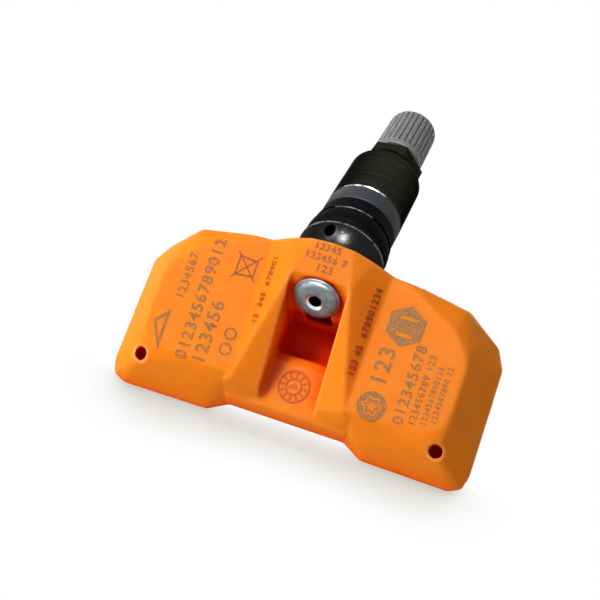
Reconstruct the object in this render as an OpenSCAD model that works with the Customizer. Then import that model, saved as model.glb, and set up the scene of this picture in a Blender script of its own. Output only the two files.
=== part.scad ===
// Tyre pressure sensor on a clamp-in metal valve, in millimetres.
// The valve's axis is +Y, pointing out of the rim, and the rim seats on the plane y = 0.
// The housing has its own frame: X along its length, Y towards the valve, Z out of its deck.

/* [Valve angle] */
// Angle between the valve's axis and the deck of the housing
valve_angle = 38.4; // [34:0.2:44]
// Distance from the ball's centre to the rim seat
ball_to_seat = 3.1; // [2.8:0.1:3.6]
// Height of the deck above the ball's centre
deck_above_ball = 7.8; // [7.4:0.1:8.2]
// Distance of the ball's centre behind the middle of the housing's frame
ball_back = 13.2; // [12.8:0.1:13.8]

// Angle that the housing can lift from its place at the front
tilt_up = 18; // [12:1:18]
// Angle that the housing can drop from its place at the front
tilt_down = 3; // [1:0.5:3]

/* [Housing] */
// Length of the housing at its base
base_l = 72; // [70:0.5:78]
// Front of the wings at the base
base_front = 23.8; // [23:0.1:26]
// Back of the wings at the base
base_back = 9.3; // [8.4:0.1:10]
// Depth of the base below the deck at the front
front_depth = 10.1; // [9.8:0.1:12]
// Depth of the base below the deck at the back
back_depth = 15; // [14:0.1:17]
// Width over both decks
deck_l = 60.8; // [58:0.5:63]
// Front edge of the decks
deck_front = 16.5; // [15.5:0.1:17.5]
// Back edge of the decks at the hump
deck_back = 10.1; // [9.8:0.1:10.4]
// Depth of the crease that runs round the wings below the deck
crease_drop = 3.9; // [3:0.1:4.4]
// Distance of the crease outside the deck
crease_out = 1.9; // [1.2:0.1:2.4]
// Width of the hump between the two decks
hump_w = 23.2; // [22:0.2:25]
// Height of the hump above the deck
hump_h = 4.1; // [3.4:0.1:4.6]
// Width of the channel between the ridges
channel_w = 11.2; // [10.8:0.1:12]
// Depth of the channel's ramp below the deck
ramp_drop = 4.4; // [4:0.1:4.8]
// Length of the ramp from the front of the housing
ramp_l = 10.6; // [9:0.1:12]
// Radius of the moulded edges
edge_r = 1.0; // [0.6:0.1:1.4]
// Diameter of the blind holes in the front corners
corner_hole_d = 2.5; // [2:0.1:3]
// Depth of the blind holes
corner_hole_depth = 3.6; // [3:0.1:4]

/* [Seat and slot] */
// Radius of the ball end of the valve
ball_r = 8.9; // [8.7:0.1:9.2]
// Clearance between the ball and its seat
ball_gap = 0.1; // [0.05:0.01:0.3]
// Distance of the screw head's seat from the ball's centre
head_seat_r = 14.6; // [14.4:0.1:14.9]
// Width of the slot for the screw
slot_w = 5.4; // [5:0.1:6]
// Lower end of the slot, below the valve's axis
slot_drop = 9.2; // [8.8:0.1:9.6]
// Upper end of the slot, above the valve's axis
slot_rise = 3.2; // [3.1:0.1:3.6]

/* [Screw] */
// Diameter of the screw's head
head_d = 9.1; // [9:0.1:9.4]
// Height of the screw's head
head_h = 1.7; // [1.4:0.1:2.2]
// Diameter of the screw's shank
shank_d = 4.4; // [4:0.1:4.8]
// Diameter of the air hole through the screw
screw_hole_d = 2.4; // [2:0.1:2.8]
// Length of the screw under its head
shank_l = 12; // [11:0.5:12.5]

/* [Valve stem] */
// Diameter of the flange on the ball end
flange_d = 17.2; // [17:0.1:17.4]
// Thickness of the flange
flange_t = 0.8; // [0.7:0.1:1]
// Distance of the flange's edge before the ball's centre
flange_before = 2.6; // [2.4:0.1:2.8]
// Diameter of the stem inside the grommet
stem_d = 8.4; // [8:0.1:8.8]
// Diameter of the thread that carries the nut
nut_thread_d = 9.4; // [9:0.1:9.8]
// Diameter of the thread that carries the cap
cap_thread_d = 7.7; // [7.2:0.1:8]
// Length of the cap's thread
cap_thread_l = 9.4; // [9:0.1:10]
// Diameter of the air bore below the core
air_bore_d = 3.2; // [2.8:0.1:3.4]
// Diameter of the bore that holds the core
core_bore_d = 5.3; // [5:0.1:5.6]
// Diameter of the cross hole in the ball end
cross_hole_d = 2.2; // [1.8:0.1:2.4]
// Turn of the cross hole about the valve's axis
cross_hole_turn = -15.6; // [-40:0.2:40]

/* [Rim seal] */
// Step of the flange outside the grommet
flange_lip = 0.2; // [0:0.1:0.5]
// Diameter of the grommet's neck, for the valve hole of the rim
neck_d = 11.2; // [11:0.1:11.4]
// Length of the grommet's neck
neck_l = 3.2; // [3:0.1:3.2]
// Thickness of the washer under the grommet
washer_t = 0.4; // [0.3:0.05:0.6]

/* [Nut and collar] */
// Outer diameter of the collar's rings
collar_d = 15.3; // [15:0.1:16]
// Height of the outer seal
outer_seal_h = 3.5; // [3.2:0.1:4]
// Height of the slip ring
slip_ring_h = 3.8; // [3.4:0.1:4.2]
// Diameter of the nut at the slip ring
nut_d = 15.3; // [15:0.1:16]
// Diameter of the nut at its shoulder
nut_top_d = 14.8; // [14.4:0.1:15]
// Turn of the hexagon about the valve's axis
hex_turn = 6.5; // [0:0.5:59.5]
// Height of the nut's round body
nut_body_h = 12.8; // [12:0.1:14]
// Height of the nut's conical shoulder
nut_cone_h = 3.3; // [3:0.1:3.8]
// Hexagon of the nut across its flats
hex_af = 11; // [10.6:0.1:12]
// Height of the hexagon
hex_h = 1.8; // [1.4:0.1:2.4]

/* [Cap] */
// Diameter of the cap at its open end
cap_d = 10.6; // [10.4:0.1:11]
// Diameter of the cap at its closed end
cap_top_d = 9.9; // [9.6:0.1:10.2]
// Length of the cap
cap_l = 12.5; // [12:0.1:13.5]
// Number of grip grooves round the cap
cap_grooves = 24; // [16:1:32]
// Gap between the nut and the cap
cap_gap = 1.3; // [1.1:0.1:1.6]

/* [Valve core] */
// Diameter of the core's pin
pin_d = 1.6; // [1.4:0.1:1.8]
// Travel of the core's pin
pin_travel = 1.2; // [0.8:0.1:1.4]
// Length of the core's barrel
barrel_l = 9; // [8:0.5:10]

/* [Electronics] */
// Gap between the battery and the wall of its pocket
battery_gap = 0.3; // [0.2:0.1:0.6]
// Height of the battery
battery_h = 3.2; // [2.8:0.1:3.2]
// Thickness of the base cover
cover_t = 1.4; // [1.2:0.1:1.6]
// Thickness of the circuit board
board_t = 1.0; // [0.8:0.1:1.2]

/* [Hidden] */
// Running clearance of threads and guided pieces
run_gap = 0.06;
// Clearance of pieces that seat loosely
seat_gap = 0.1;
// Wall left round the wings' pockets
side_wall = 2.0;
overlap = 0.01;
half_hump = hump_w / 2;
half_channel = channel_w / 2;
half_deck = deck_l / 2;
half_base = base_l / 2;
axis_z = -deck_above_ball;
base_tilt = atan((back_depth - front_depth) / (base_front + base_back));
seat_r = ball_r + ball_gap;
grommet_d = flange_d - flange_lip * 2;
// Pocket of a wing on the base: its inner and outer end, its front and its back
pocket_inner = half_channel + 3.4;
pocket_outer = half_base - 4;
pocket_front = 5;
pocket_back = base_front + base_back - 4.6;
pocket_step = 1.2;
pocket_w = pocket_outer - pocket_inner;
battery_d = min(pocket_w, pocket_back - pocket_front) - (pocket_step + battery_gap) * 2;
battery_x = pocket_outer - pocket_step - battery_gap - battery_d / 2 + 0.1;
battery_y = (pocket_front + pocket_back) / 2;
stem_start = -flange_before + flange_t;
grommet_from = stem_start + washer_t + seat_gap;
collar_from = ball_to_seat + seat_gap * 4;
slip_from = collar_from + outer_seal_h;
nut_from = slip_from + slip_ring_h;
hex_from = nut_from + nut_body_h + nut_cone_h;
hex_to = hex_from + hex_h;
cap_from = hex_to + cap_gap;
mouth_at = cap_from + cap_thread_l;
nut_thread_to = nut_from + nut_body_h - 1;
core_from = mouth_at - barrel_l - 1.2;
battery_z = cover_t + 0.3;
board_z = cover_t + 0.9;
tab_w = 2.2;
tab_start = pocket_inner + 4;
tab_t = 0.2;

// Height of the sloping base at a distance y from the valve's plane
function base_z(y) = -front_depth - (y + base_front) * tan(base_tilt);

// Places a turned piece on the valve's axis, from a station measured from the ball's centre
module on_axis(station = 0) {
  translate([0, station - ball_to_seat, 0]) rotate([-90, 0, 0]) children();
}

// Places a piece in the housing's own frame
module in_housing() {
  translate([0, -ball_to_seat, 0]) rotate([valve_angle, 0, 0])
    translate([0, -ball_back, deck_above_ball]) children();
}

// Places a piece on the inner face of the base, from its front edge
module on_base() {
  in_housing() translate([0, -base_front, -front_depth]) rotate([-base_tilt, 0, 0]) children();
}

// Repeats a shape on both wings
module both_sides() {
  children();
  mirror([1, 0, 0]) children();
}

// One ball of a rounded corner, given where the sharp corner would be
module corner(x, y, z, dx, dy, dz) {
  translate([x - dx * edge_r, y - dy * edge_r, z - dz * edge_r]) sphere(edge_r, $fn = 24);
}

// One wing: deck, bevels and walls
module wing() {
  crease_x = half_deck + crease_out;
  crease_y = deck_front + crease_drop;
  back_x = half_hump + 14.9;
  under = base_z(base_back);
  hull() {
    // deck
    corner(half_hump - 3, deck_back, 0, 0, 1, 1);
    corner(half_hump + 4, deck_back - 0.4, 0, 0, 1, 1);
    corner(half_deck - 4.4, 4.4, 0, 0.4, 0.8, 1);
    corner(half_deck - 0.8, 0, 0, 0.6, 0.4, 1);
    corner(half_deck, -2.4, 0, 0.8, 0, 1);
    corner(half_deck, -deck_front + 4, 0, 0.8, 0, 1);
    corner(half_deck - 1.2, -deck_front + 1.6, 0, 0.6, -0.6, 1);
    corner(half_deck - 4.2, -deck_front, 0, 0, -0.6, 1);
    corner(half_hump, -deck_front, 0, 0, -0.6, 1);
    corner(half_hump - 3, -deck_front, -3, 0, -0.6, 1);
    // bevels
    corner(back_x, base_back - 1, -3, 0.4, 1, 0.6);
    corner(half_hump + 6, base_back + 0.5, -2.2, 0.1, 1, 0.6);
    corner(crease_x - 1.6, 3.6, -crease_drop, 1, 0.6, 0.5);
    corner(crease_x, -1.6, -crease_drop, 1, 0, 0.5);
    corner(crease_x, -crease_y + 5, -crease_drop, 1, 0, 0.5);
    corner(half_deck - 0.4, -crease_y + 1.4, -1.6, 0.7, -0.7, 0.7);
    corner(crease_x - 3, -crease_y, -crease_drop, 0.5, -1, 0.5);
    corner(half_hump + 4.4, -crease_y, -crease_drop, 0, -1, 0.5);
    // widest outline
    corner(back_x, base_back, -front_depth, 0.4, 0.9, 0);
    corner(half_base - 2.4, 4.4, -front_depth - 1, 0.8, 0.6, 0);
    corner(half_base - 0.4, 0.4, -front_depth, 1, 0.1, 0);
    corner(half_base, -base_front + 3.8, -front_depth, 1, 0, -1);
    corner(half_base - 0.9, -base_front + 0.9, -front_depth, 0.7, -0.7, -1);
    corner(half_base - 3.4, -base_front - 0.2, -front_depth, 0, -1, -1);
    corner(half_hump + 4.2, -base_front, -front_depth, 0, -1, -1);
    corner(half_hump + 0.8, -base_front + 2.2, -front_depth, 0, -1, -1);
    corner(half_hump - 3, -base_front + 4, -front_depth, 0, -1, -1);
    corner(half_hump - 3, base_back + 1.4, -front_depth, 0, 1, 0);
    // back of the base, drawn in under the outline
    corner(back_x - 1, base_back - 1, under, 0.4, 1, -1);
    corner(half_base - 1.6, -0.6, base_z(-0.6), 1, 0.6, -1);
    corner(half_hump - 3, base_back, under, 0, 1, -1);
  }
}

// Ridge beside the channel, with the facet to the deck and the facet to the front
module ridge() {
  inner = half_channel - 1.6;
  lip_y = -deck_front - 1.2;
  hull() {
    corner(half_channel + 0.5, 4.9, hump_h, 0.6, 0, 1);
    corner(inner, 4.9, hump_h - 0.8, 0, 0, 1);
    corner(half_hump + 0.3, deck_back, 0, 0.4, 1, 1);
    corner(half_hump, -deck_front, 0, 0.6, 0, 1);
    corner(half_hump + 0.4, lip_y, -0.6, 0.4, -0.6, 1);
    corner(inner, lip_y, -2.7, 0, -0.6, 1);
    corner(half_hump + 0.9, -base_front + 2.2, -front_depth, 0, -1, -1);
    corner(inner, -base_front + 2.2, -front_depth, 0, -1, -1);
    corner(half_hump, base_back + 2, base_z(base_back), 0, 1, -1);
    corner(inner, base_back + 2, base_z(base_back), 0, 1, -1);
  }
}

// Hump over the ball seat, with its bowed back edge
module hump() {
  hull() {
    both_sides() {
      corner(half_channel + 0.5, 4.9, hump_h, 0.6, 0, 1);
      corner(half_hump + 0.3, deck_back, 0, 0.4, 1, 1);
      corner(7.4, deck_back + 1, hump_h - 1.4, 0, 1, 1);
      corner(4, deck_back + 1.7, hump_h - 0.2, 0, 1, 1);
      corner(half_hump, base_back + 2, base_z(base_back), 0, 1, -1);
      corner(half_hump, -base_front + 12, base_z(-base_front + 12), 0, 0, -1);
    }
    corner(0, deck_back + 1.9, hump_h, 0, 1, 1);
  }
}

// Floor between the wings, under the channel's ramp
module bridge() {
  hull() both_sides() {
    corner(half_hump, -deck_front - 3.4, -ramp_drop, 0, -0.6, 1);
    corner(half_hump, -base_front + 2.2, -front_depth, 0, -1, -1);
    corner(half_hump, 6, -ramp_drop, 0, 0, 1);
    corner(half_hump, base_back, base_z(base_back), 0, 1, -1);
  }
}

// Side view of what the channel leaves open, above the ramp and in front of the slotted wall
module channel_profile() {
  wall_r = head_seat_r - seat_gap;
  sill = slot_drop + 1.6;
  ramp_back = -base_front + 2.2 + ramp_l;
  pocket_z = base_z(ramp_back) + 1.6;
  difference() {
    polygon([[-base_front - 5, 12], [-base_front - 5, -ramp_drop], [ramp_back, -ramp_drop],
      [ramp_back + 1.6, -ramp_drop - 1.2], [ramp_back + 2.6, pocket_z], [2, pocket_z],
      [ball_back, 0], [5.6, 12]]);
    translate([ball_back, axis_z]) rotate(-valve_angle) {
      intersection() {
        circle(wall_r, $fn = 96);
        translate([-wall_r * 2, -wall_r * sin(36)]) square(wall_r * 4);
      }
      polygon([[0, -wall_r * sin(36)], [-wall_r * cos(36), -wall_r * sin(36)],
        [-wall_r * cos(36), -sill], [-wall_r * cos(36) + 1, -sill - 1.2],
        [-wall_r * cos(36) + 1, -20], [0, -20]]);
    }
  }
}

// Room that the flange and the rim seal need behind the seat at every tilt of the housing
module flange_room() {
  rim = flange_d / 2 + 0.5;
  translate([-rim, -ball_to_seat, 0]) rotate([90, 0, 90]) linear_extrude(rim * 2)
    for (tilt = [-tilt_up, 0, tilt_down])
      rotate(-tilt) translate([-flange_before - 0.5, -rim]) square([30, rim * 2]);
}

// The slot that the screw slides in when the valve is set to its angle
module screw_slot() {
  translate([-slot_w / 2, -ball_to_seat - head_seat_r - 6, -slot_drop])
    cube([slot_w, head_seat_r + 6, slot_drop + slot_rise]);
}

// Outline of one wing's pocket on the base, seen from above and inset by a wall
module pocket_outline(inset = 0) {
  cut = pocket_w * 0.25;
  offset(delta = -inset) polygon([[pocket_inner, pocket_front], [pocket_outer - cut, pocket_front],
    [pocket_outer, pocket_front + cut], [pocket_outer, pocket_back - cut],
    [pocket_outer - cut, pocket_back], [pocket_inner, pocket_back]]);
}

// Outline of the base cover
module cover_outline(inset = 0) {
  offset(delta = -inset) {
    both_sides() offset(delta = 1.2) pocket_outline();
    translate([-12, 3.8]) square([24, 8]);
  }
}

module pockets() {
  on_base() {
    translate([0, 0, -1]) linear_extrude(1 + cover_t) cover_outline();
    both_sides() {
      translate([0, 0, cover_t - overlap]) linear_extrude(2.6 + overlap) pocket_outline();
      translate([0, 0, cover_t]) linear_extrude(4.2) pocket_outline(pocket_step);
    }
    translate([-11, 5, cover_t - overlap]) cube([22, 5.4, 4.0]);
  }
}

module corner_holes() {
  in_housing() both_sides()
    translate([half_deck - 1.1, -deck_front - 1.6, -1 - corner_hole_depth])
      cylinder(h = corner_hole_depth + 4, d = corner_hole_d, $fn = 40);
}

module housing() {
  color("darkorange") difference() {
    union() {
      in_housing() difference() {
        union() {
          both_sides() {
            wing();
            ridge();
          }
          hump();
          bridge();
        }
        rotate([90, 0, 90]) translate([0, 0, -half_channel])
          linear_extrude(channel_w) channel_profile();
      }
    }
    on_axis(0) sphere(seat_r, $fn = 96);
    flange_room();
    screw_slot();
    corner_holes();
    pockets();
  }
}

module base_cover() {
  color("dimgray") on_base() linear_extrude(cover_t) cover_outline(seat_gap);
}

module circuit_board() {
  color("darkgreen") on_base() mirror([1, 0, 0]) translate([0, 0, board_z])
    linear_extrude(board_t) pocket_outline(seat_gap * 2);
}

module battery() {
  color("silver") on_base() translate([battery_x, battery_y, battery_z])
    cylinder(h = battery_h, d = battery_d, $fn = 96);
}

// Strip from the battery to the board, with its end bent onto the board
module battery_tab(y, z, foot_from, foot_to) {
  on_base() union() {
    translate([-tab_start, y, z]) cube([tab_start + battery_x, tab_w, tab_t]);
    translate([-tab_start, y, foot_from]) cube([tab_t, tab_w, foot_to - foot_from]);
  }
}

module battery_tab_positive() {
  color("gainsboro") battery_tab(8, battery_z + battery_h, board_z + board_t, battery_z + battery_h + tab_t);
}

module battery_tab_negative() {
  color("gainsboro") battery_tab(5.4, battery_z - tab_t, battery_z - tab_t, board_z);
}

// Puts a component on the upper face of the board, at shares of the left pocket's length and depth
module on_board(along, across) {
  x = pocket_inner + pocket_w * along;
  y = pocket_front + (pocket_back - pocket_front) * across;
  on_base() translate([-x, y, board_z + board_t]) children();
}

module pressure_sensor() {
  color("black") on_board(0.72, 0.40) difference() {
    translate([-3, -3, 0]) cube([6, 6, 1.6]);
    translate([1.2, 1.2, 1.1]) cylinder(h = 2, d = 1.2, $fn = 24);
  }
}

module control_chip() {
  color("black") on_board(0.30, 0.60) translate([-2.5, -2.5, 0]) cube([5, 5, 0.9]);
}

module lf_coil() {
  color("saddlebrown") on_board(0.48, 0.86) difference() {
    translate([-3.8, -1.2, 0]) cube([7.6, 2.4, 2]);
    for (side = [-1, 1]) translate([side * 3.3 - 0.5, -2, -1]) cube([1, 1, 4]);
  }
}

module antenna() {
  color("goldenrod") on_board(0.70, 0.60) translate([-2, 0, 0]) difference() {
    cube([6, 4, 0.4]);
    translate([1, 1, -1]) cube([4, 2, 3]);
  }
}

module crystal() {
  color("silver") on_board(0.30, 0.38) translate([-1.6, -0.8, 0]) cube([3.2, 1.6, 0.8]);
}

module capacitor(across) {
  color("tan") on_board(0.5, across) cube([1.6, 0.8, 0.8]);
}

module capacitor_front() { capacitor(0.14); }
module capacitor_middle() { capacitor(0.24); }
module capacitor_back() { capacitor(0.33); }

module valve_stem() {
  ball_foot = -sqrt(ball_r * ball_r - pow(shank_d / 2 + 1.2, 2));
  color("black") difference() {
    union() {
      intersection() {
        on_axis(0) sphere(ball_r, $fn = 96);
        on_axis(ball_foot) cylinder(h = -ball_foot - flange_before + overlap, r = ball_r, $fn = 96);
      }
      on_axis(-flange_before) cylinder(h = flange_t, d = flange_d, $fn = 96);
      on_axis(stem_start - overlap) cylinder(h = nut_from - stem_start, d = stem_d, $fn = 64);
      on_axis(nut_from - 2) cylinder(h = nut_thread_to - nut_from + 2, d = nut_thread_d, $fn = 64);
      on_axis(nut_from) cylinder(h = mouth_at - nut_from, d = cap_thread_d, $fn = 64);
    }
    on_axis(-ball_r - 1) cylinder(h = mouth_at + ball_r + 2, d = air_bore_d, $fn = 40);
    on_axis(-ball_r - 1) cylinder(h = shank_l - head_seat_r + ball_r + 1 + 1, d = shank_d + run_gap * 2, $fn = 40);
    on_axis(core_from - 2.4) cylinder(h = barrel_l + 6.4, d = core_bore_d, $fn = 48);
    translate([0, -ball_to_seat - flange_before - 1.6, 0]) rotate([0, cross_hole_turn, 0])
      translate([0, 0, 5]) cylinder(h = ball_r, d = cross_hole_d, $fn = 32);
  }
}

module fixing_screw() {
  color("lightslategray") difference() {
    union() {
      on_axis(-head_seat_r - 0.6) cylinder(h = 0.6, d = head_d, $fn = 72);
      on_axis(-head_seat_r - head_h) cylinder(h = head_h - 0.6, d1 = head_d * 0.55, d2 = head_d - 0.5, $fn = 72);
      on_axis(-head_seat_r - overlap) cylinder(h = shank_l, d = shank_d, $fn = 40);
    }
    on_axis(-head_seat_r - 5) cylinder(h = shank_l + 8, d = screw_hole_d, $fn = 32);
  }
}

module support_washer() {
  color("silver") on_axis(stem_start) difference() {
    cylinder(h = washer_t, d = grommet_d - 1, $fn = 72);
    translate([0, 0, -1]) cylinder(h = 3, d = stem_d + seat_gap * 2, $fn = 64);
  }
}

module sealing_grommet() {
  flange_h = ball_to_seat - grommet_from;
  color("#1F1D24") on_axis(grommet_from) difference() {
    rotate_extrude($fn = 96) polygon([[0, 0], [grommet_d / 2 - 0.6, 0], [grommet_d / 2, 0.6],
      [grommet_d / 2, flange_h - 2.4], [grommet_d / 2 - 0.9, flange_h - 0.4],
      [grommet_d / 2 - 1.3, flange_h], [neck_d / 2, flange_h], [neck_d / 2, flange_h + neck_l],
      [0, flange_h + neck_l]]);
    translate([0, 0, -1]) cylinder(h = 30, d = stem_d + seat_gap, $fn = 64);
  }
}

module outer_seal() {
  color("#1F1D24") on_axis(collar_from) difference() {
    rotate_extrude($fn = 96) polygon([[0, 0], [collar_d / 2 - 0.5, 0], [collar_d / 2 - 0.1, 0.5],
      [collar_d / 2 - 0.3, outer_seal_h * 0.5], [collar_d / 2 - 0.1, outer_seal_h], [0, outer_seal_h]]);
    translate([0, 0, -1]) cylinder(h = 30, d = neck_d + 0.6, $fn = 64);
  }
}

module slip_ring() {
  color("#45494E") on_axis(slip_from) difference() {
    cylinder(h = slip_ring_h, d = collar_d, $fn = 96);
    translate([0, 0, -1]) cylinder(h = 30, d = nut_thread_d + 0.6, $fn = 64);
  }
}

module union_nut() {
  foot = 0.4;
  color("#1A1A14") on_axis(nut_from) difference() {
    union() {
      cylinder(h = foot + overlap, d1 = nut_d - foot * 2, d2 = nut_d, $fn = 96);
      translate([0, 0, foot]) cylinder(h = nut_body_h - foot, d1 = nut_d, d2 = nut_top_d, $fn = 96);
      translate([0, 0, nut_body_h]) cylinder(h = nut_cone_h, d1 = nut_top_d, d2 = hex_af, $fn = 96);
      translate([0, 0, nut_body_h / 2]) rotate(-hex_turn)
        cylinder(h = nut_body_h / 2 + nut_cone_h + hex_h, d = hex_af / cos(30), $fn = 6);
    }
    translate([0, 0, -1]) cylinder(h = nut_body_h + 1, d = nut_thread_d + run_gap * 2, $fn = 64);
    translate([0, 0, -1]) cylinder(h = 40, d = cap_thread_d + 0.6, $fn = 64);
  }
}

module valve_cap() {
  color("#767676") on_axis(cap_from) difference() {
    union() {
      cylinder(h = cap_l - 0.8, d1 = cap_d, d2 = cap_top_d + 0.1, $fn = 96);
      translate([0, 0, cap_l - 0.8]) cylinder(h = 0.8, d1 = cap_top_d + 0.1, d2 = cap_top_d - 1, $fn = 96);
    }
    translate([0, 0, -1]) cylinder(h = cap_thread_l + 1 + 0.9, d = cap_thread_d + run_gap * 2, $fn = 64);
    for (i = [0:cap_grooves - 1]) rotate(i * 360 / cap_grooves)
      translate([cap_d / 2, 0, 1.4]) rotate([0, -atan((cap_d - cap_top_d) / 2 / cap_l), 0])
        cylinder(h = cap_l, r = 0.35, $fn = 4);
  }
}

module cap_seal() {
  color("black") on_axis(mouth_at + seat_gap) difference() {
    cylinder(h = 0.8, d = cap_thread_d - 0.2, $fn = 64);
    translate([0, 0, -1]) cylinder(h = 3, d = pin_d + 1.4, $fn = 32);
  }
}

module core_barrel() {
  color("goldenrod") on_axis(core_from) difference() {
    cylinder(h = barrel_l, d = core_bore_d - run_gap * 2, $fn = 48);
    translate([0, 0, -1]) cylinder(h = barrel_l + 2, d = 3.4, $fn = 40);
  }
}

module core_pin() {
  color("goldenrod") on_axis(core_from - 1) union() {
    cylinder(h = barrel_l + 1.6, d = pin_d, $fn = 32);
  }
}

module core_spring() {
  color("silver") on_axis(core_from + 1) difference() {
    cylinder(h = 5, d = 3.0, $fn = 32);
    translate([0, 0, -1]) cylinder(h = 9, d = pin_d + 0.4, $fn = 32);
  }
}

module core_seal() {
  color("red") on_axis(core_from - 0.8) difference() {
    cylinder(h = 0.8, d = 4.6, $fn = 40);
    translate([0, 0, -1]) cylinder(h = 3, d = pin_d + 0.1, $fn = 32);
  }
}

housing();
base_cover();
circuit_board();
battery();
battery_tab_positive();
battery_tab_negative();
pressure_sensor();
control_chip();
lf_coil();
antenna();
crystal();
capacitor_front();
capacitor_middle();
capacitor_back();
valve_stem();
fixing_screw();
support_washer();
sealing_grommet();
core_barrel();
core_pin();
core_spring();
core_seal();
outer_seal();
slip_ring();
union_nut();
cap_seal();
valve_cap();
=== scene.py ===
import math
import bpy
from mathutils import Matrix, Vector


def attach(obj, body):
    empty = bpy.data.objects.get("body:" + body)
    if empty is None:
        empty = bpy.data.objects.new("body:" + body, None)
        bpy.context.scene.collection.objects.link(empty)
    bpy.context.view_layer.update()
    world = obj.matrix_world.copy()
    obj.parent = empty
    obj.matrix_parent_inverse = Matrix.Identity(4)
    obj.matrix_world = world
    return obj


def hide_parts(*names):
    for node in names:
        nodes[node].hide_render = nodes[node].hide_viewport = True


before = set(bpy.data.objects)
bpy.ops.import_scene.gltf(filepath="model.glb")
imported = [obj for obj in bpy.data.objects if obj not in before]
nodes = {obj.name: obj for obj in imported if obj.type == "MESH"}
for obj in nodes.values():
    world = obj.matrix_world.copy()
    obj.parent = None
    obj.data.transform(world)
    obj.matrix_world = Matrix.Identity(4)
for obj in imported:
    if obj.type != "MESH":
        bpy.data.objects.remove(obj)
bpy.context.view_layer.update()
scene = bpy.context.scene
bpy.ops.object.select_all(action="DESELECT")

# Housing: one moulding of satin orange glass-filled polyamide, with creases that are a little soft.
# It holds the electronics under its two wings and hangs on the ball end of the valve.
# Its own axes are X along its length, Y to the valve and Z out of its deck, in millimetres.
MM = 0.001
BALL_TO_SEAT = 3.1 * MM
VALVE_ANGLE = 38.4
BALL_BACK = 13.2 * MM
DECK_ABOVE_BALL = 7.8 * MM
BALL_CENTRE = Matrix.Translation((0, -BALL_TO_SEAT, 0))
HOUSING = BALL_CENTRE @ Matrix.Rotation(math.radians(VALVE_ANGLE), 4, "X") @ \
    Matrix.Translation((0, -BALL_BACK, DECK_ABOVE_BALL)) @ Matrix.Scale(MM, 4)


def linear(hex_colour):
    """sRGB hex to linear RGBA."""
    parts = [int(hex_colour[i:i + 2], 16) / 255 for i in (1, 3, 5)]
    return [c / 12.92 if c <= 0.04045 else ((c + 0.055) / 1.055) ** 2.4 for c in parts] + [1]


def add(tree, kind, **settings):
    """Adds a shader node. A setting is a property, an input by name or as i0, i1, or the stops of a ramp."""
    node = tree.nodes.new(kind)
    for key, value in settings.items():
        if key == "stops":
            ramp = node.color_ramp.elements
            while len(ramp) < len(value):
                ramp.new(0.5)
            for stop, (position, colour) in zip(ramp, value):
                stop.position = position
                stop.color = linear(colour)
        elif hasattr(node, key):
            setattr(node, key, value)
        else:
            socket = node.inputs[int(key[1:])] if key[1:].isdigit() else node.inputs[key.replace("_", " ")]
            if isinstance(value, bpy.types.NodeSocket):
                tree.links.new(value, socket)
            else:
                socket.default_value = value
    return node


def surface(name, colour, roughness, metallic=0.0, coat=0.0, specular=0.5, rim="#FFFFFF", grain=0.0,
            grain_size=0.3 * MM, fleck=None, fleck_size=0.4 * MM, stretch=(1, 1, 1)):
    """A material with a fine grain in its relief and, where given, flecks of a second colour."""
    made = bpy.data.materials.new(name)
    made.use_nodes = True
    tree = made.node_tree
    shader = tree.nodes["Principled BSDF"]
    for socket, value in (("Base Color", linear(colour)), ("Roughness", roughness), ("Metallic", metallic),
                          ("Coat Weight", coat), ("Specular IOR Level", specular), ("Specular Tint", linear(rim))):
        shader.inputs[socket].default_value = value
    coords = add(tree, "ShaderNodeTexCoord")
    pattern = add(tree, "ShaderNodeMapping", Vector=coords.outputs["Object"], Scale=stretch).outputs["Vector"]
    if grain:
        noise = add(tree, "ShaderNodeTexNoise", Vector=pattern, Scale=1 / grain_size, Detail=2.0)
        bump = add(tree, "ShaderNodeBump", Height=noise.outputs["Fac"], Strength=grain, Distance=0.1 * MM)
        tree.links.new(bump.outputs["Normal"], shader.inputs["Normal"])
        tree.links.new(bump.outputs["Normal"], shader.inputs["Coat Normal"])
    if fleck:
        spots = add(tree, "ShaderNodeTexNoise", Vector=pattern, Scale=1 / fleck_size, Detail=3.0)
        ramp = add(tree, "ShaderNodeValToRGB", Fac=spots.outputs["Fac"], stops=[(0.42, colour), (0.68, fleck)])
        tree.links.new(ramp.outputs["Color"], shader.inputs["Base Color"])
    return made


def pick(obj):
    """Selects one object alone and makes it the active one."""
    bpy.ops.object.select_all(action="DESELECT")
    obj.select_set(True)
    bpy.context.view_layer.objects.active = obj


def put(obj):
    """Puts a new object in the scene."""
    scene.collection.objects.link(obj)
    return obj


def dress(obj, made, place=None, smooth=None):
    """Moves the mesh to its place, gives it a material and shades it smooth below an angle."""
    if place is not None:
        obj.data.transform(place)
    obj.data.materials.clear()
    obj.data.materials.append(made)
    pick(obj)
    if smooth is not None:
        bpy.ops.object.shade_smooth_by_angle(angle=math.radians(smooth))
    obj.select_set(False)
    return obj


def finish(obj, kind, **settings):
    """Adds a modifier, sets it and applies it."""
    pick(obj)
    modifier = obj.modifiers.new(kind.title(), kind)
    for key, value in settings.items():
        setattr(modifier, key, value)
    bpy.ops.object.modifier_apply(modifier=modifier.name)
    obj.select_set(False)


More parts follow.
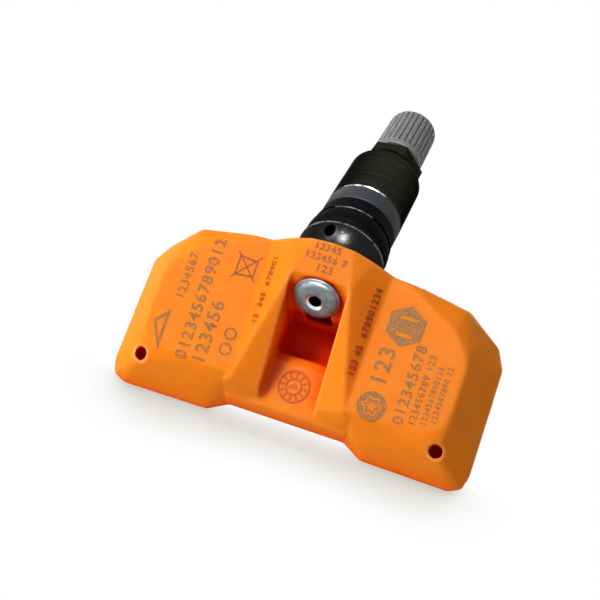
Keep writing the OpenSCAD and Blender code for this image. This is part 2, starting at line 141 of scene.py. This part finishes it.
# Glass-filled polyamide: satin, and lit from within near its edges. Its recesses are painted a deep red as shade,
# with their sheen turned down, and its outer creases are painted paler as highlights. The grain is 0.35 mm,
# coarser than the real one, to show.
ORANGE = "#F4861A"
RECESS = 9 * MM
CREASE = 0.7 * MM
orange = surface("glass_filled_polyamide_orange", ORANGE, 0.5, specular=0.04, grain=0.2, grain_size=0.35 * MM)
tree = orange.node_tree
shader = tree.nodes["Principled BSDF"]
shader.inputs["Subsurface Weight"].default_value = 0.5
shader.inputs["Subsurface Radius"].default_value = (1.0, 0.25, 0.05)
shader.inputs["Subsurface Scale"].default_value = 3 * MM
# Painted shade: from their ambient occlusion, the recesses are painted a deep red and lose their sheen
open_share = add(tree, "ShaderNodeAmbientOcclusion", samples=8, Distance=RECESS).outputs["AO"]
depth = add(tree, "ShaderNodeValToRGB", Fac=open_share, stops=[(0.1, "#B01200"), (0.5, "#E63000"), (0.92, ORANGE)])
# Painted highlight: outer creases, found by occlusion inside the skin, are painted paler, but not in the recesses
edge = add(tree, "ShaderNodeAmbientOcclusion", samples=8, inside=True, Distance=CREASE)
crease = add(tree, "ShaderNodeMapRange", Value=edge.outputs["AO"], From_Min=0.985, From_Max=0.82, To_Min=0.0,
             To_Max=0.6)
open_air = add(tree, "ShaderNodeMapRange", Value=open_share, From_Min=0.5, From_Max=0.95)
sheen = add(tree, "ShaderNodeMapRange", Value=open_share, From_Min=0.5, From_Max=0.95, To_Min=0.0, To_Max=0.03)
painted_crease_highlight = add(tree, "ShaderNodeMath", operation="MULTIPLY", i0=crease.outputs["Result"],
                  i1=open_air.outputs["Result"])
paler = add(tree, "ShaderNodeMix", data_type="RGBA", i0=painted_crease_highlight.outputs[0], i6=depth.outputs["Color"],
            i7=linear("#FFB468"))
tree.links.new(paler.outputs[2], shader.inputs["Base Color"])
tree.links.new(sheen.outputs["Result"], shader.inputs["Specular IOR Level"])

# The creases are softened all over, and more on the wings than round the seat, the corner holes and the base
VOXEL = 0.34 * MM
WING_FROM, WING_FADE = 12.2, 1.5
CORNER_HOLE_X, CORNER_HOLE_Y = 29.3, -18.1
HOLE_KEPT, HOLE_FADE = 1.7, 1.2
BASE_BAND, BASE_SHARE = -11, 0.6
skin = put(bpy.data.objects.new("housing_skin", nodes["housing"].data.copy()))
skin.matrix_world = nodes["housing"].matrix_world
finish(skin, "REMESH", mode="VOXEL", voxel_size=VOXEL, use_smooth_shade=True)
finish(skin, "SMOOTH", factor=0.5, iterations=2)
soft = skin.vertex_groups.new(name="soft")
to_housing = HOUSING.inverted()
for vertex in skin.data.vertices:
    x, y, z = to_housing @ vertex.co
    from_hole = math.hypot(abs(x) - CORNER_HOLE_X, y - CORNER_HOLE_Y)
    share = min(1, max(0, (abs(x) - WING_FROM) / WING_FADE)) * min(1, max(0, (from_hole - HOLE_KEPT) / HOLE_FADE)) \
        * (1 if z > BASE_BAND else BASE_SHARE)
    if share:
        soft.add([vertex.index], share, "REPLACE")
finish(skin, "SMOOTH", factor=0.5, iterations=5, vertex_group="soft")
dress(skin, orange, None, 60)
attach(skin, "housing")
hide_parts("housing")

# Date mark: two raised rings on the channel's ramp with ticks between them and a pointer in the middle.
# They are part of the orange moulding, from an insert in its mould, and carry no figures.
MARK_X, MARK_Y = 0.1, -14.9
RING_Z, TICK_Z, POINTER_Z = -4.42, -4.4, -4.38
TICKS = 12
TICK_OUT = 2.2
TICK_SIZE = (0.75, 0.3, 0.34)
marks = []
for ring_r, wire_r in ((2.95, 0.22), (1.45, 0.18)):
    bpy.ops.mesh.primitive_torus_add(major_radius=ring_r, minor_radius=wire_r, major_segments=64, minor_segments=10)
    ring = bpy.context.object
    ring.data.transform(Matrix.Translation((MARK_X, MARK_Y, RING_Z)))
    marks.append(ring)
bpy.ops.mesh.primitive_cube_add(size=1)
tick = bpy.context.object
tick.data.transform(Matrix.Translation((TICK_OUT, 0, 0)) @ Matrix.Diagonal((*TICK_SIZE, 1)))
for i in range(TICKS):
    copy = put(bpy.data.objects.new("tick", tick.data.copy()))
    copy.data.transform(Matrix.Translation((MARK_X, MARK_Y, TICK_Z)) @ Matrix.Rotation(math.tau * i / TICKS, 4, "Z"))
    marks.append(copy)
bpy.data.objects.remove(tick)
bpy.ops.mesh.primitive_cone_add(vertices=3, radius1=1.1, radius2=0.9, depth=0.3)
pointer = bpy.context.object
pointer.data.transform(Matrix.Translation((MARK_X, MARK_Y, POINTER_Z)) @ Matrix.Diagonal((1.3, 0.7, 1, 1)))
marks.append(pointer)
pick(marks[0])
for part in marks:
    part.select_set(True)
bpy.ops.object.join()
mark = marks[0]
mark.name = "date_mark"
# The same polyamide where it is raised, painted a deeper orange than the ramp round it as the shade of its relief
raised = surface("moulded_mark_in_shade", "#D85F10", 0.6, specular=0.1)
dress(mark, raised, HOUSING, 40)
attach(mark, "housing")

# Print: rows of plain figures and simple shapes on the decks, the leaning facets and the hump.
# A laser burns them into the polyamide, which leaves a grey-brown, speckled stroke without relief.
# Rows on the wings read from the front to the back, those on the hump along the housing.
PRINT_Z = 0.03
FIGURE_RISE = 0.69
FRONT_TO_BACK, ALONG = 90, 0
FACET_DROP, FACET_REACH = 4.1, 5.8
HUMP_Z = 4.16
ink = surface("laser_burnt_print", "#8F5F2E", 0.6, specular=0.1, fleck="#C07C3A", fleck_size=0.3 * MM)
ink_dark = surface("laser_burnt_print_dark", "#8E4D1D", 0.6, specular=0.1, fleck="#AC6A30", fleck_size=0.3 * MM)


def burn(obj, made, place):
    """Finishes a print and fixes it to the housing."""
    dress(obj, made, place)
    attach(obj, "housing")


def figures(name, text, start, height, turn=FRONT_TO_BACK, made=ink, width=1.0, lean=0.0):
    """A row of plain figures, from the start of its base line, on a face that may lean to one side."""
    bpy.ops.object.text_add()
    row = bpy.context.object
    row.data.body = text
    row.data.size = height / FIGURE_RISE
    row.data.space_character = 1.15
    row.data.offset = 0.012 * row.data.size
    row.data.resolution_u = 3
    bpy.ops.object.convert(target="MESH")
    row = bpy.context.object
    row.name = name
    burn(row, made, HOUSING @ Matrix.Translation(start) @ Matrix.Rotation(lean, 4, "Y") @
         Matrix.Rotation(math.radians(turn), 4, "Z") @ Matrix.Diagonal((width, 1, 1, 1)))


for name, text, x, y, height, width in (
        ("print_left_a", "1234567", -24.5, -6.2, 1.6, 1.0), ("print_left_b", "0123456789012", -20.3, -16.8, 2.2, 1.01),
        ("print_left_c", "123456", -16.6, -16.8, 2.5, 1.02), ("print_right_a", "123", 16.9, -10.3, 3.0, 1.05),
        ("print_right_b", "012345678", 22.2, -15.8, 2.0, 1.02),
        ("print_right_c", "123456789 123", 24.4, -15.3, 1.3, 1.0),
        ("print_right_d", "1234567890123", 26.3, -14.6, 1.1, 0.95),
        ("print_right_e", "1234567890 12", 28.0, -13.8, 1.1, 0.95)):
    figures(name, text, (x, y, PRINT_Z), height, width=width)
facet_lean = math.atan2(FACET_DROP, FACET_REACH)
figures("print_facet_left", "12  345  678901", (-9.5, -6.5, 1.66), 1.2, made=ink_dark, lean=-facet_lean)
figures("print_facet_right", "123 45  678901234", (11.0, -10.2, 0.62), 1.3, made=ink_dark, lean=facet_lean)
for name, text, x, y, height in (
        ("print_hump_a", "12345", -3.2, 10.0, 1.3), ("print_hump_b", "123456 7", -4.4, 8.0, 1.3),
        ("print_hump_c", "123", -1.6, 6.0, 1.4)):
    figures(name, text, (x, y, HUMP_Z), height, ALONG)


def shape(name, outline, bare=(), made=ink):
    """A flat shape on the deck, from its outline and the outlines left bare in it."""
    curve = bpy.data.curves.new(name, "CURVE")
    curve.dimensions = "2D"
    curve.fill_mode = "BOTH"
    for loop in (outline, *bare):
        line = curve.splines.new("POLY")
        line.points.add(len(loop) - 1)
        for point, (x, y) in zip(line.points, loop):
            point.co = (x, y, 0, 1)
        line.use_cyclic_u = True
    pick(put(bpy.data.objects.new(name, curve)))
    bpy.ops.object.convert(target="MESH")
    burn(bpy.context.object, made, HOUSING @ Matrix.Translation((0, 0, PRINT_Z)))


def circle(centre, r, count, turn=0.0, wave=0.0, lobes=0):
    """Points on a circle, with lobes where asked."""
    return [(centre[0] + (r + wave * math.cos(lobes * a)) * math.cos(a + turn),
             centre[1] + (r + wave * math.cos(lobes * a)) * math.sin(a + turn))
            for a in (math.tau * i / count for i in range(count))]


def bar(left, right, low, high):
    """The corners of an upright rectangle."""
    return [(left, high), (left, low), (right, low), (right, high)]


HEXAGON, RING = (17.2, 1.7), (15.8, -14.1)
CIRCLE_X, CIRCLE_R, CIRCLE_INNER_R = -13.6, 1.2, 0.85
shape("print_hexagon", circle(HEXAGON, 3.9, 6, math.radians(30)),
      [bar(15.6, 18.9, -0.3, 0.4), bar(15.6, 18.9, 2.9, 3.6)])
shape("print_ring", circle(RING, 2.7, 64), [circle(RING, 1.75, 60, 0, 0.26, 6)])
shape("print_ring_middle", circle(RING, 1.25, 60, 0, 0.24, 6), [circle(RING, 0.85, 60, 0, 0.2, 6)])
shape("print_triangle", [(-26.0, -16.6), (-26.0, -8.6), (-28.6, -11.4)],
      [[(-26.5, -15.0), (-28.0, -11.5), (-26.5, -10.0)]])
shape("print_box", [(-16.9, 1.3), (-13.1, 1.7), (-13.1, 4.9), (-16.9, 5.3)],
      [[(-16.6, 1.65), (-13.4, 2.0), (-13.4, 4.6), (-16.6, 4.95)]], ink_dark)
shape("print_box_stroke", [(-17.5, 0.8), (-17.35, 0.6), (-12.6, 5.7), (-12.75, 5.9)], (), ink_dark)
shape("print_box_stroke_across", [(-17.5, 5.8), (-12.75, 0.8), (-12.6, 1.0), (-17.35, 6.0)], (), ink_dark)
for name, y in (("print_circle_front", -12.6), ("print_circle_back", -9.6)):
    shape(name, circle((CIRCLE_X, y), CIRCLE_R, 40), [circle((CIRCLE_X, y), CIRCLE_INNER_R, 40)])

# Valve stem: a ball end, a flange, a cross hole and a long tube, turned from one piece of metal.
# A satin black coat covers it, and a bright metal arc on the flange's edge is a painted highlight.
# Stations on the valve's axis are measured from the ball's centre, in millimetres.
VALVE = BALL_CENTRE @ Matrix.Rotation(math.radians(-90), 4, "X") @ Matrix.Scale(MM, 4)
JOIN_WITHIN = 0.0005


def turned(name, profile, made, steps=128, smooth=40, arc=None):
    """A piece turned about the valve's axis from (radius, station) points, all round or over an arc in degrees.

    Spin goes clockwise for a positive angle, so its angle is negative here.
    """
    start, sweep = (math.radians(arc[0]), math.radians(arc[1] - arc[0])) if arc else (0, math.tau)
    points = [Vector((r * math.cos(start), r * math.sin(start), station)) for r, station in profile]
    bpy.ops.mesh.primitive_plane_add(size=1)
    obj = bpy.context.object
    obj.name = name
    bpy.ops.object.mode_set(mode="EDIT")
    bpy.ops.mesh.select_mode(type="VERT")
    bpy.ops.mesh.select_all(action="SELECT")
    bpy.ops.mesh.merge(type="CENTER")
    bpy.ops.transform.translate(value=points[0])
    for before, after in zip(points, points[1:]):
        bpy.ops.mesh.extrude_vertices_move(TRANSFORM_OT_translate={"value": after - before})
    bpy.ops.mesh.select_all(action="SELECT")
    bpy.ops.mesh.spin(steps=steps, angle=-sweep, center=(0, 0, 0), axis=(0, 0, 1))
    bpy.ops.mesh.select_all(action="SELECT")
    bpy.ops.mesh.remove_doubles(threshold=JOIN_WITHIN)
    bpy.ops.mesh.normals_make_consistent(inside=False)
    bpy.ops.object.mode_set(mode="OBJECT")
    return dress(obj, made, VALVE, smooth)


# Black coat on metal: it shines softly, with fine brighter flecks of 0.6 mm
coated = surface("black_coated_metal", "#0D0E0D", 0.24, metallic=1.0, coat=0.2, rim="#303030", grain=0.3,
                 grain_size=0.2 * MM, fleck="#1A1C1B", fleck_size=0.6 * MM)
coated.node_tree.nodes["Principled BSDF"].inputs["Coat Roughness"].default_value = 0.22
dress(nodes["valve_stem"], coated, None, 35)
# Painted highlight on edges: bright bare metal, broken by dark patches of 0.9 mm
painted_edge_highlight = surface("painted_edge_highlight_metal", "#8F908C", 0.35, metallic=1.0, fleck="#3A3A38", fleck_size=0.9 * MM)
flange_edge = turned("flange_edge", [(8.52, -2.62), (8.61, -2.56), (8.62, -2.44), (8.58, -2.4), (8.52, -2.62)], painted_edge_highlight,
                     arc=(-200, 20))
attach(flange_edge, "valve")

# Fixing screw: a hollow screw with a domed head, turned from stainless steel.
# It runs through the slotted wall into the ball end and clamps the housing to the valve.
# Its air hole has a bright chamfer, and its bore is painted black as shade.
BORE_R, SHANK_R, HEAD_R, CROWN_R = 1.2, 2.2, 4.55, 4.3
TIP, HEAD_UNDER, HEAD_TOP, DOME_H, DOME_REACH = -2.6, -14.6, -15.2, 1.15, 2.25
BORE_SEEN_R, CHAMFER_SEEN_R = 1.24, 1.66
dome = [(CROWN_R - DOME_REACH * (1 - math.cos(a)), HEAD_TOP - DOME_H * math.sin(a))
        for a in (math.radians(d) for d in range(9, 91, 9))]
# Turned steel: a satin grey with faint lighter flecks of 0.9 mm
turned_steel = surface("turned_stainless_steel", "#6D7578", 0.42, metallic=0.75, grain=0.3, grain_size=0.3 * MM,
                       fleck="#858D90", fleck_size=0.9 * MM)
screw = turned("screw_skin", [(BORE_R, TIP), (SHANK_R, TIP), (SHANK_R, HEAD_UNDER), (4.45, HEAD_UNDER),
                              (HEAD_R, -14.7), (HEAD_R, -15.05), (4.45, -15.15), (CROWN_R, HEAD_TOP), *dome,
                              (1.85, -16.35), (1.7, -16.3), (1.25, -15.95), (BORE_R, TIP)], turned_steel, smooth=50)
# Painted shade: the faces of the bore get a near-black material
screw.data.materials.append(surface("shaded_bore", "#0A0A0A", 0.8, specular=0.0))
screw.data.materials.append(surface("bright_chamfer", "#D0D4D4", 0.3, metallic=1.0))
to_valve = VALVE.inverted()
for face in screw.data.polygons:
    x, y, z = to_valve @ face.center
    face.material_index = 1 if math.hypot(x, y) < BORE_SEEN_R else 2 if math.hypot(x, y) < CHAMFER_SEEN_R else 0
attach(screw, "valve")
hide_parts("fixing_screw")

# Sealing grommet and washer: a bulging ring of soft black rubber whose neck fills the rim's valve hole.
# It is moulded, slips on the stem and is clamped between the flange's steel washer and the rim.
# A short bright metal arc on the clamping edge is a painted highlight.
STEM_R, BULGE_R, NECK_R = 4.3, 8.42, 5.65
SEAL_FOOT, RIM_FACE, NECK_TOP = -1.3, 3.1, 6.3
# Moulded rubber: nearly black and without shine
rubber = surface("moulded_rubber", "#08070A", 0.6, specular=0.02, grain=0.3, grain_size=0.4 * MM)
grommet = turned("grommet_skin", [(STEM_R, SEAL_FOOT), (7.7, SEAL_FOOT), (8.2, -1.0), (BULGE_R, -0.4), (BULGE_R, 0.9),
                                  (8.3, 1.9), (8.05, 2.7), (7.8, RIM_FACE), (NECK_R, RIM_FACE), (NECK_R, 6.1),
                                  (5.45, NECK_TOP), (STEM_R, NECK_TOP), (STEM_R, SEAL_FOOT)], rubber)
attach(grommet, "valve")
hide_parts("sealing_grommet")
# Plated steel: plain, bright and smooth
steel = surface("plated_steel", "#9AA0A4", 0.3, metallic=1.0)
dress(nodes["support_washer"], steel, None, 30)
lip = turned("grommet_edge", [(7.6, 3.12), (8.02, 3.12), (8.05, 3.2), (8.0, 3.28), (7.6, 3.28), (7.6, 3.12)], painted_edge_highlight,
             arc=(-118, -62))
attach(lip, "valve")

# Outer seal: the dark rubber ring that lies on the outside of the rim, under the slip ring.
# It is moulded with a rounded foot and tapers to the ring above.
SEAL_R, SEAL_IN_R, SEAL_FROM, SEAL_TO = 8.0, 5.9, 3.5, 7.0
outer = turned("outer_seal_skin", [(SEAL_IN_R, SEAL_FROM), (7.7, SEAL_FROM), (7.98, 3.65), (SEAL_R, 3.9), (7.78, 4.6),
                                   (7.68, 5.6), (7.58, 6.6), (7.5, 6.95), (7.4, SEAL_TO), (SEAL_IN_R, SEAL_TO),
                                   (SEAL_IN_R, SEAL_FROM)], rubber)
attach(outer, "collar")
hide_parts("outer_seal")

# Slip ring: a smooth blue-grey ring of moulded polyamide between the seal and the nut.
# The nut turns on it, so that the rubber below isn't dragged round.
RING_R, RING_IN_R, RING_TO = 7.65, 5.0, 10.8
# Moulded polyamide: even and matt, with a grain of 0.5 mm
ring_grey = surface("slip_ring_polyamide", "#3A3E43", 0.5, specular=0.1, grain=0.1, grain_size=0.5 * MM)
slip = turned("slip_ring_skin", [(RING_IN_R, SEAL_TO), (7.45, SEAL_TO), (7.62, 7.15), (RING_R, 7.3), (RING_R, 10.5),
                                 (7.6, 10.7), (7.5, RING_TO), (RING_IN_R, RING_TO), (RING_IN_R, SEAL_TO)], ring_grey)
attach(slip, "collar")
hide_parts("slip_ring")

# Union nut: turned from aluminium with a long round body, a cone and a hexagon, and anodised black.
# It runs on the stem's thread and clamps the rim. A bright metal arc on its lower edge is a painted highlight.
# The turning marks run round the body, so their noise is drawn out across the axis, in flecks of 0.8 mm.
ROUND_THE_BODY = (0.15, 3.0, 0.15)
anodised = surface("black_anodised_aluminium", "#2A2A25", 0.36, metallic=1.0, rim="#303030", grain=0.7,
                   grain_size=0.4 * MM, fleck="#383830", fleck_size=0.8 * MM, stretch=ROUND_THE_BODY)
dress(nodes["union_nut"], anodised, None, 30)
nut_edge = turned("nut_edge", [(7.3, 10.82), (7.5, 10.84), (7.66, 11.02), (7.6, 11.05), (7.3, 10.82)], painted_edge_highlight,
                  arc=(-128, -60))
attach(nut_edge, "nut")

# Valve cap: moulded from grey polyamide and screwed on the stem's end over a rubber disc.
# Fine grip grooves run along it between a smooth collar and a rounded end.
GROOVES, STEPS_PER_GROOVE, GROOVE_DEEP = 28, 12, 0.34
GROOVE_FROM, GROOVE_TO, GROOVE_LAND = 31.4, 41.9, 0.35
CAP_FROM, CAP_TO, CAP_BORE_R, CAP_BORE_TO = 30.0, 42.52, 3.93, 40.3
# Moulded polyamide: matt grey with a grain of 0.3 mm and pale flecks of 0.8 mm
cap_grey = surface("cap_polyamide", "#787877", 0.45, specular=0.2, grain=0.35, grain_size=0.3 * MM, fleck="#868684",
                   fleck_size=0.8 * MM)
cap = turned("cap_skin", [(0, CAP_BORE_TO), (CAP_BORE_R, CAP_BORE_TO), (CAP_BORE_R, CAP_FROM), (5.05, CAP_FROM),
                          (5.22, 30.12), (5.3, 30.3), (5.28, 31.3), (5.26, 31.5), (5.24, 31.8), (5.19, 34),
                          (5.12, 37), (5.05, 40), (5.02, 41.2), (4.97, 41.7), (4.82, 42.1), (4.6, 42.35), (4.2, 42.5),
                          (3.0, CAP_TO), (1.0, CAP_TO), (0, CAP_TO)], cap_grey, GROOVES * STEPS_PER_GROOVE, None)
for vertex in cap.data.vertices:
    x, y, station = to_valve @ vertex.co
    r = math.hypot(x, y)
    if GROOVE_FROM < station < GROOVE_TO and r > CAP_BORE_R + GROOVE_DEEP:
        cut = max(0.0, (math.cos(GROOVES * math.atan2(y, x)) - GROOVE_LAND) / (1 - GROOVE_LAND))
        deep = 1 - GROOVE_DEEP * cut ** 0.7 / r
        vertex.co = VALVE @ Vector((x * deep, y * deep, station))
dress(cap, cap_grey, None, 35)
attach(cap, "cap")
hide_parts("valve_cap")

# Base cover and inner pieces: a dark potted cover closes the housing over a green board with its battery,
# chips, coil and antenna. The valve core of brass, with its steel spring and rubber seal, sits in the stem.
# None but the cover shows from outside, so each has the plain finish of its kind.
potting = surface("dark_potting_cover", "#2B2B2D", 0.5, grain=0.2, grain_size=0.5 * MM)
board = surface("circuit_board_green", "#12502C", 0.4)
package = surface("moulded_package", "#141416", 0.5)
ceramic = surface("ceramic_body", "#B49A70", 0.5)
copper = surface("copper_winding", "#B06A38", 0.35, metallic=0.9)
brass = surface("turned_brass", "#B8964C", 0.3, metallic=1.0)
for made, names in (
        (potting, ["base_cover"]), (board, ["circuit_board"]), (package, ["pressure_sensor", "control_chip"]),
        (steel, ["battery", "battery_tab_positive", "battery_tab_negative", "crystal", "core_spring"]),
        (copper, ["lf_coil", "antenna"]), (ceramic, ["capacitor_front", "capacitor_middle", "capacitor_back"]),
        (brass, ["core_barrel", "core_pin"]), (rubber, ["core_seal", "cap_seal"])):
    for name in names:
        dress(nodes[name], made, None, 30)

# Floor: a sheet of white paper that touches the front edge of the base and the tip of the cap.
# The camera sees it as white paper with a soft contact shadow painted in front of the base, and it lights the part
# from below as pale paper does.
FLOOR_TILT = math.radians(15.8)
FLOOR_PLACE = (0, -30.7 * MM, -25.2 * MM)
FLOOR_SIZE = 3
SHADE_REACH = 11 * MM
SHADE_FULL, SHADE_NONE = -37.4 * MM, -33.4 * MM
paper = bpy.data.materials.new("white_paper_floor")
paper.use_nodes = True
tree = paper.node_tree
shader = tree.nodes["Principled BSDF"]
shader.inputs["Base Color"].default_value = linear("#F4F0EA")
shader.inputs["Roughness"].default_value = 0.9
shader.inputs["Specular IOR Level"].default_value = 0.0
# Painted shadow: to the camera the paper darkens with nearness to the part, only ahead of the base's front edge
nearby = add(tree, "ShaderNodeAmbientOcclusion", samples=16, Distance=SHADE_REACH)
shade = add(tree, "ShaderNodeValToRGB", Fac=nearby.outputs["AO"], stops=[(0.3, "#A89C82"), (0.97, "#FFFFFF")])
coords = add(tree, "ShaderNodeTexCoord")
ahead = add(tree, "ShaderNodeVectorMath", operation="DOT_PRODUCT", i0=coords.outputs["Object"],
            i1=(0, math.cos(FLOOR_TILT), math.sin(FLOOR_TILT)))
front = add(tree, "ShaderNodeMapRange", Value=ahead.outputs["Value"], From_Min=SHADE_FULL, From_Max=SHADE_NONE,
            To_Min=1.0, To_Max=0.0)
tone = add(tree, "ShaderNodeMix", data_type="RGBA", i0=front.outputs["Result"], i6=(1, 1, 1, 1),
           i7=shade.outputs["Color"])
seen_paper = add(tree, "ShaderNodeEmission", Color=tone.outputs[2], Strength=1.0)
choose = add(tree, "ShaderNodeMixShader", i0=add(tree, "ShaderNodeLightPath").outputs["Is Camera Ray"],
             i1=shader.outputs[0], i2=seen_paper.outputs[0])
tree.links.new(choose.outputs[0], tree.nodes["Material Output"].inputs["Surface"])
bpy.ops.mesh.primitive_plane_add(size=FLOOR_SIZE)
floor = bpy.context.object
floor.name = "floor"
floor.data.transform(Matrix.Translation(FLOOR_PLACE) @ Matrix.Rotation(FLOOR_TILT, 4, "X"))
floor.data.materials.append(paper)

# Camera: a long lens at the photograph's angle, looking down on the decks with the valve pointing away.
# Its axes and its place come from a fit of the housing's corners and the valve's circles.
CAMERA_RIGHT = (0.9303, 0.35895, 0.07552)
CAMERA_UP = (-0.29675, 0.61547, 0.73016)
CAMERA_BACK = (0.21561, -0.70167, 0.67909)
CAMERA_PLACE = (0.060749, -0.226218, 0.199759)
camera_data = bpy.data.cameras.new("camera")
camera_data.lens = 96
camera_data.sensor_width = 36
camera_data.clip_start = 0.01
camera_data.clip_end = 20
camera = put(bpy.data.objects.new("camera", camera_data))
camera.matrix_world = Matrix((*zip(CAMERA_RIGHT, CAMERA_UP, CAMERA_BACK, CAMERA_PLACE), (0, 0, 0, 1)))
scene.camera = camera
scene.render.resolution_x = 600
scene.render.resolution_y = 600


# Lamps: a key lamp behind on the left and a weaker one low on the left light the part.
# A small lamp over the camera only gives the glint on polished and coated metal.
def lamp(name, place, size, watts):
    """A soft square lamp aimed at the part's origin."""
    data = bpy.data.lights.new(name, "AREA")
    data.shape = "SQUARE"
    data.size = size
    data.energy = watts
    obj = put(bpy.data.objects.new(name, data))
    obj.location = place
    obj.rotation_euler = Vector(place).to_track_quat("Z", "Y").to_euler()
    return obj


lamp("key", (-0.415, -0.178, 0.66), 0.2, 5.7)
lamp("side", (-0.614, -0.494, 0.181), 0.3, 1.9)
glint = lamp("glint", (-0.023, -0.275, 0.748), 0.1, 16.0)
glint.visible_diffuse = False

# World: plain white to the camera and in reflections.
# As light on the part it is a quarter as strong, which fills the shade.
WORLD_LIGHT = 0.25
world = bpy.data.worlds.new("world")
scene.world = world
world.use_nodes = True
tree = world.node_tree
tree.nodes.clear()
path = add(tree, "ShaderNodeLightPath").outputs
seen = add(tree, "ShaderNodeMath", operation="MAXIMUM", i0=path["Is Camera Ray"], i1=path["Is Glossy Ray"])
seen_all = add(tree, "ShaderNodeMath", operation="MAXIMUM", i0=seen.outputs[0], i1=path["Is Transmission Ray"])
light = add(tree, "ShaderNodeBackground", Color=(1, 1, 1, 1), Strength=WORLD_LIGHT)
white = add(tree, "ShaderNodeBackground", Color=(1, 1, 1, 1), Strength=1.0)
mix = add(tree, "ShaderNodeMixShader", i0=seen_all.outputs[0], i1=light.outputs[0], i2=white.outputs[0])
add(tree, "ShaderNodeOutputWorld", i0=mix.outputs[0])

# Render: the colours as they are written, without a film look
scene.render.engine = "CYCLES"
scene.cycles.samples = 112
scene.cycles.use_denoising = True
scene.view_settings.view_transform = "Standard"
scene.view_settings.look = "None"
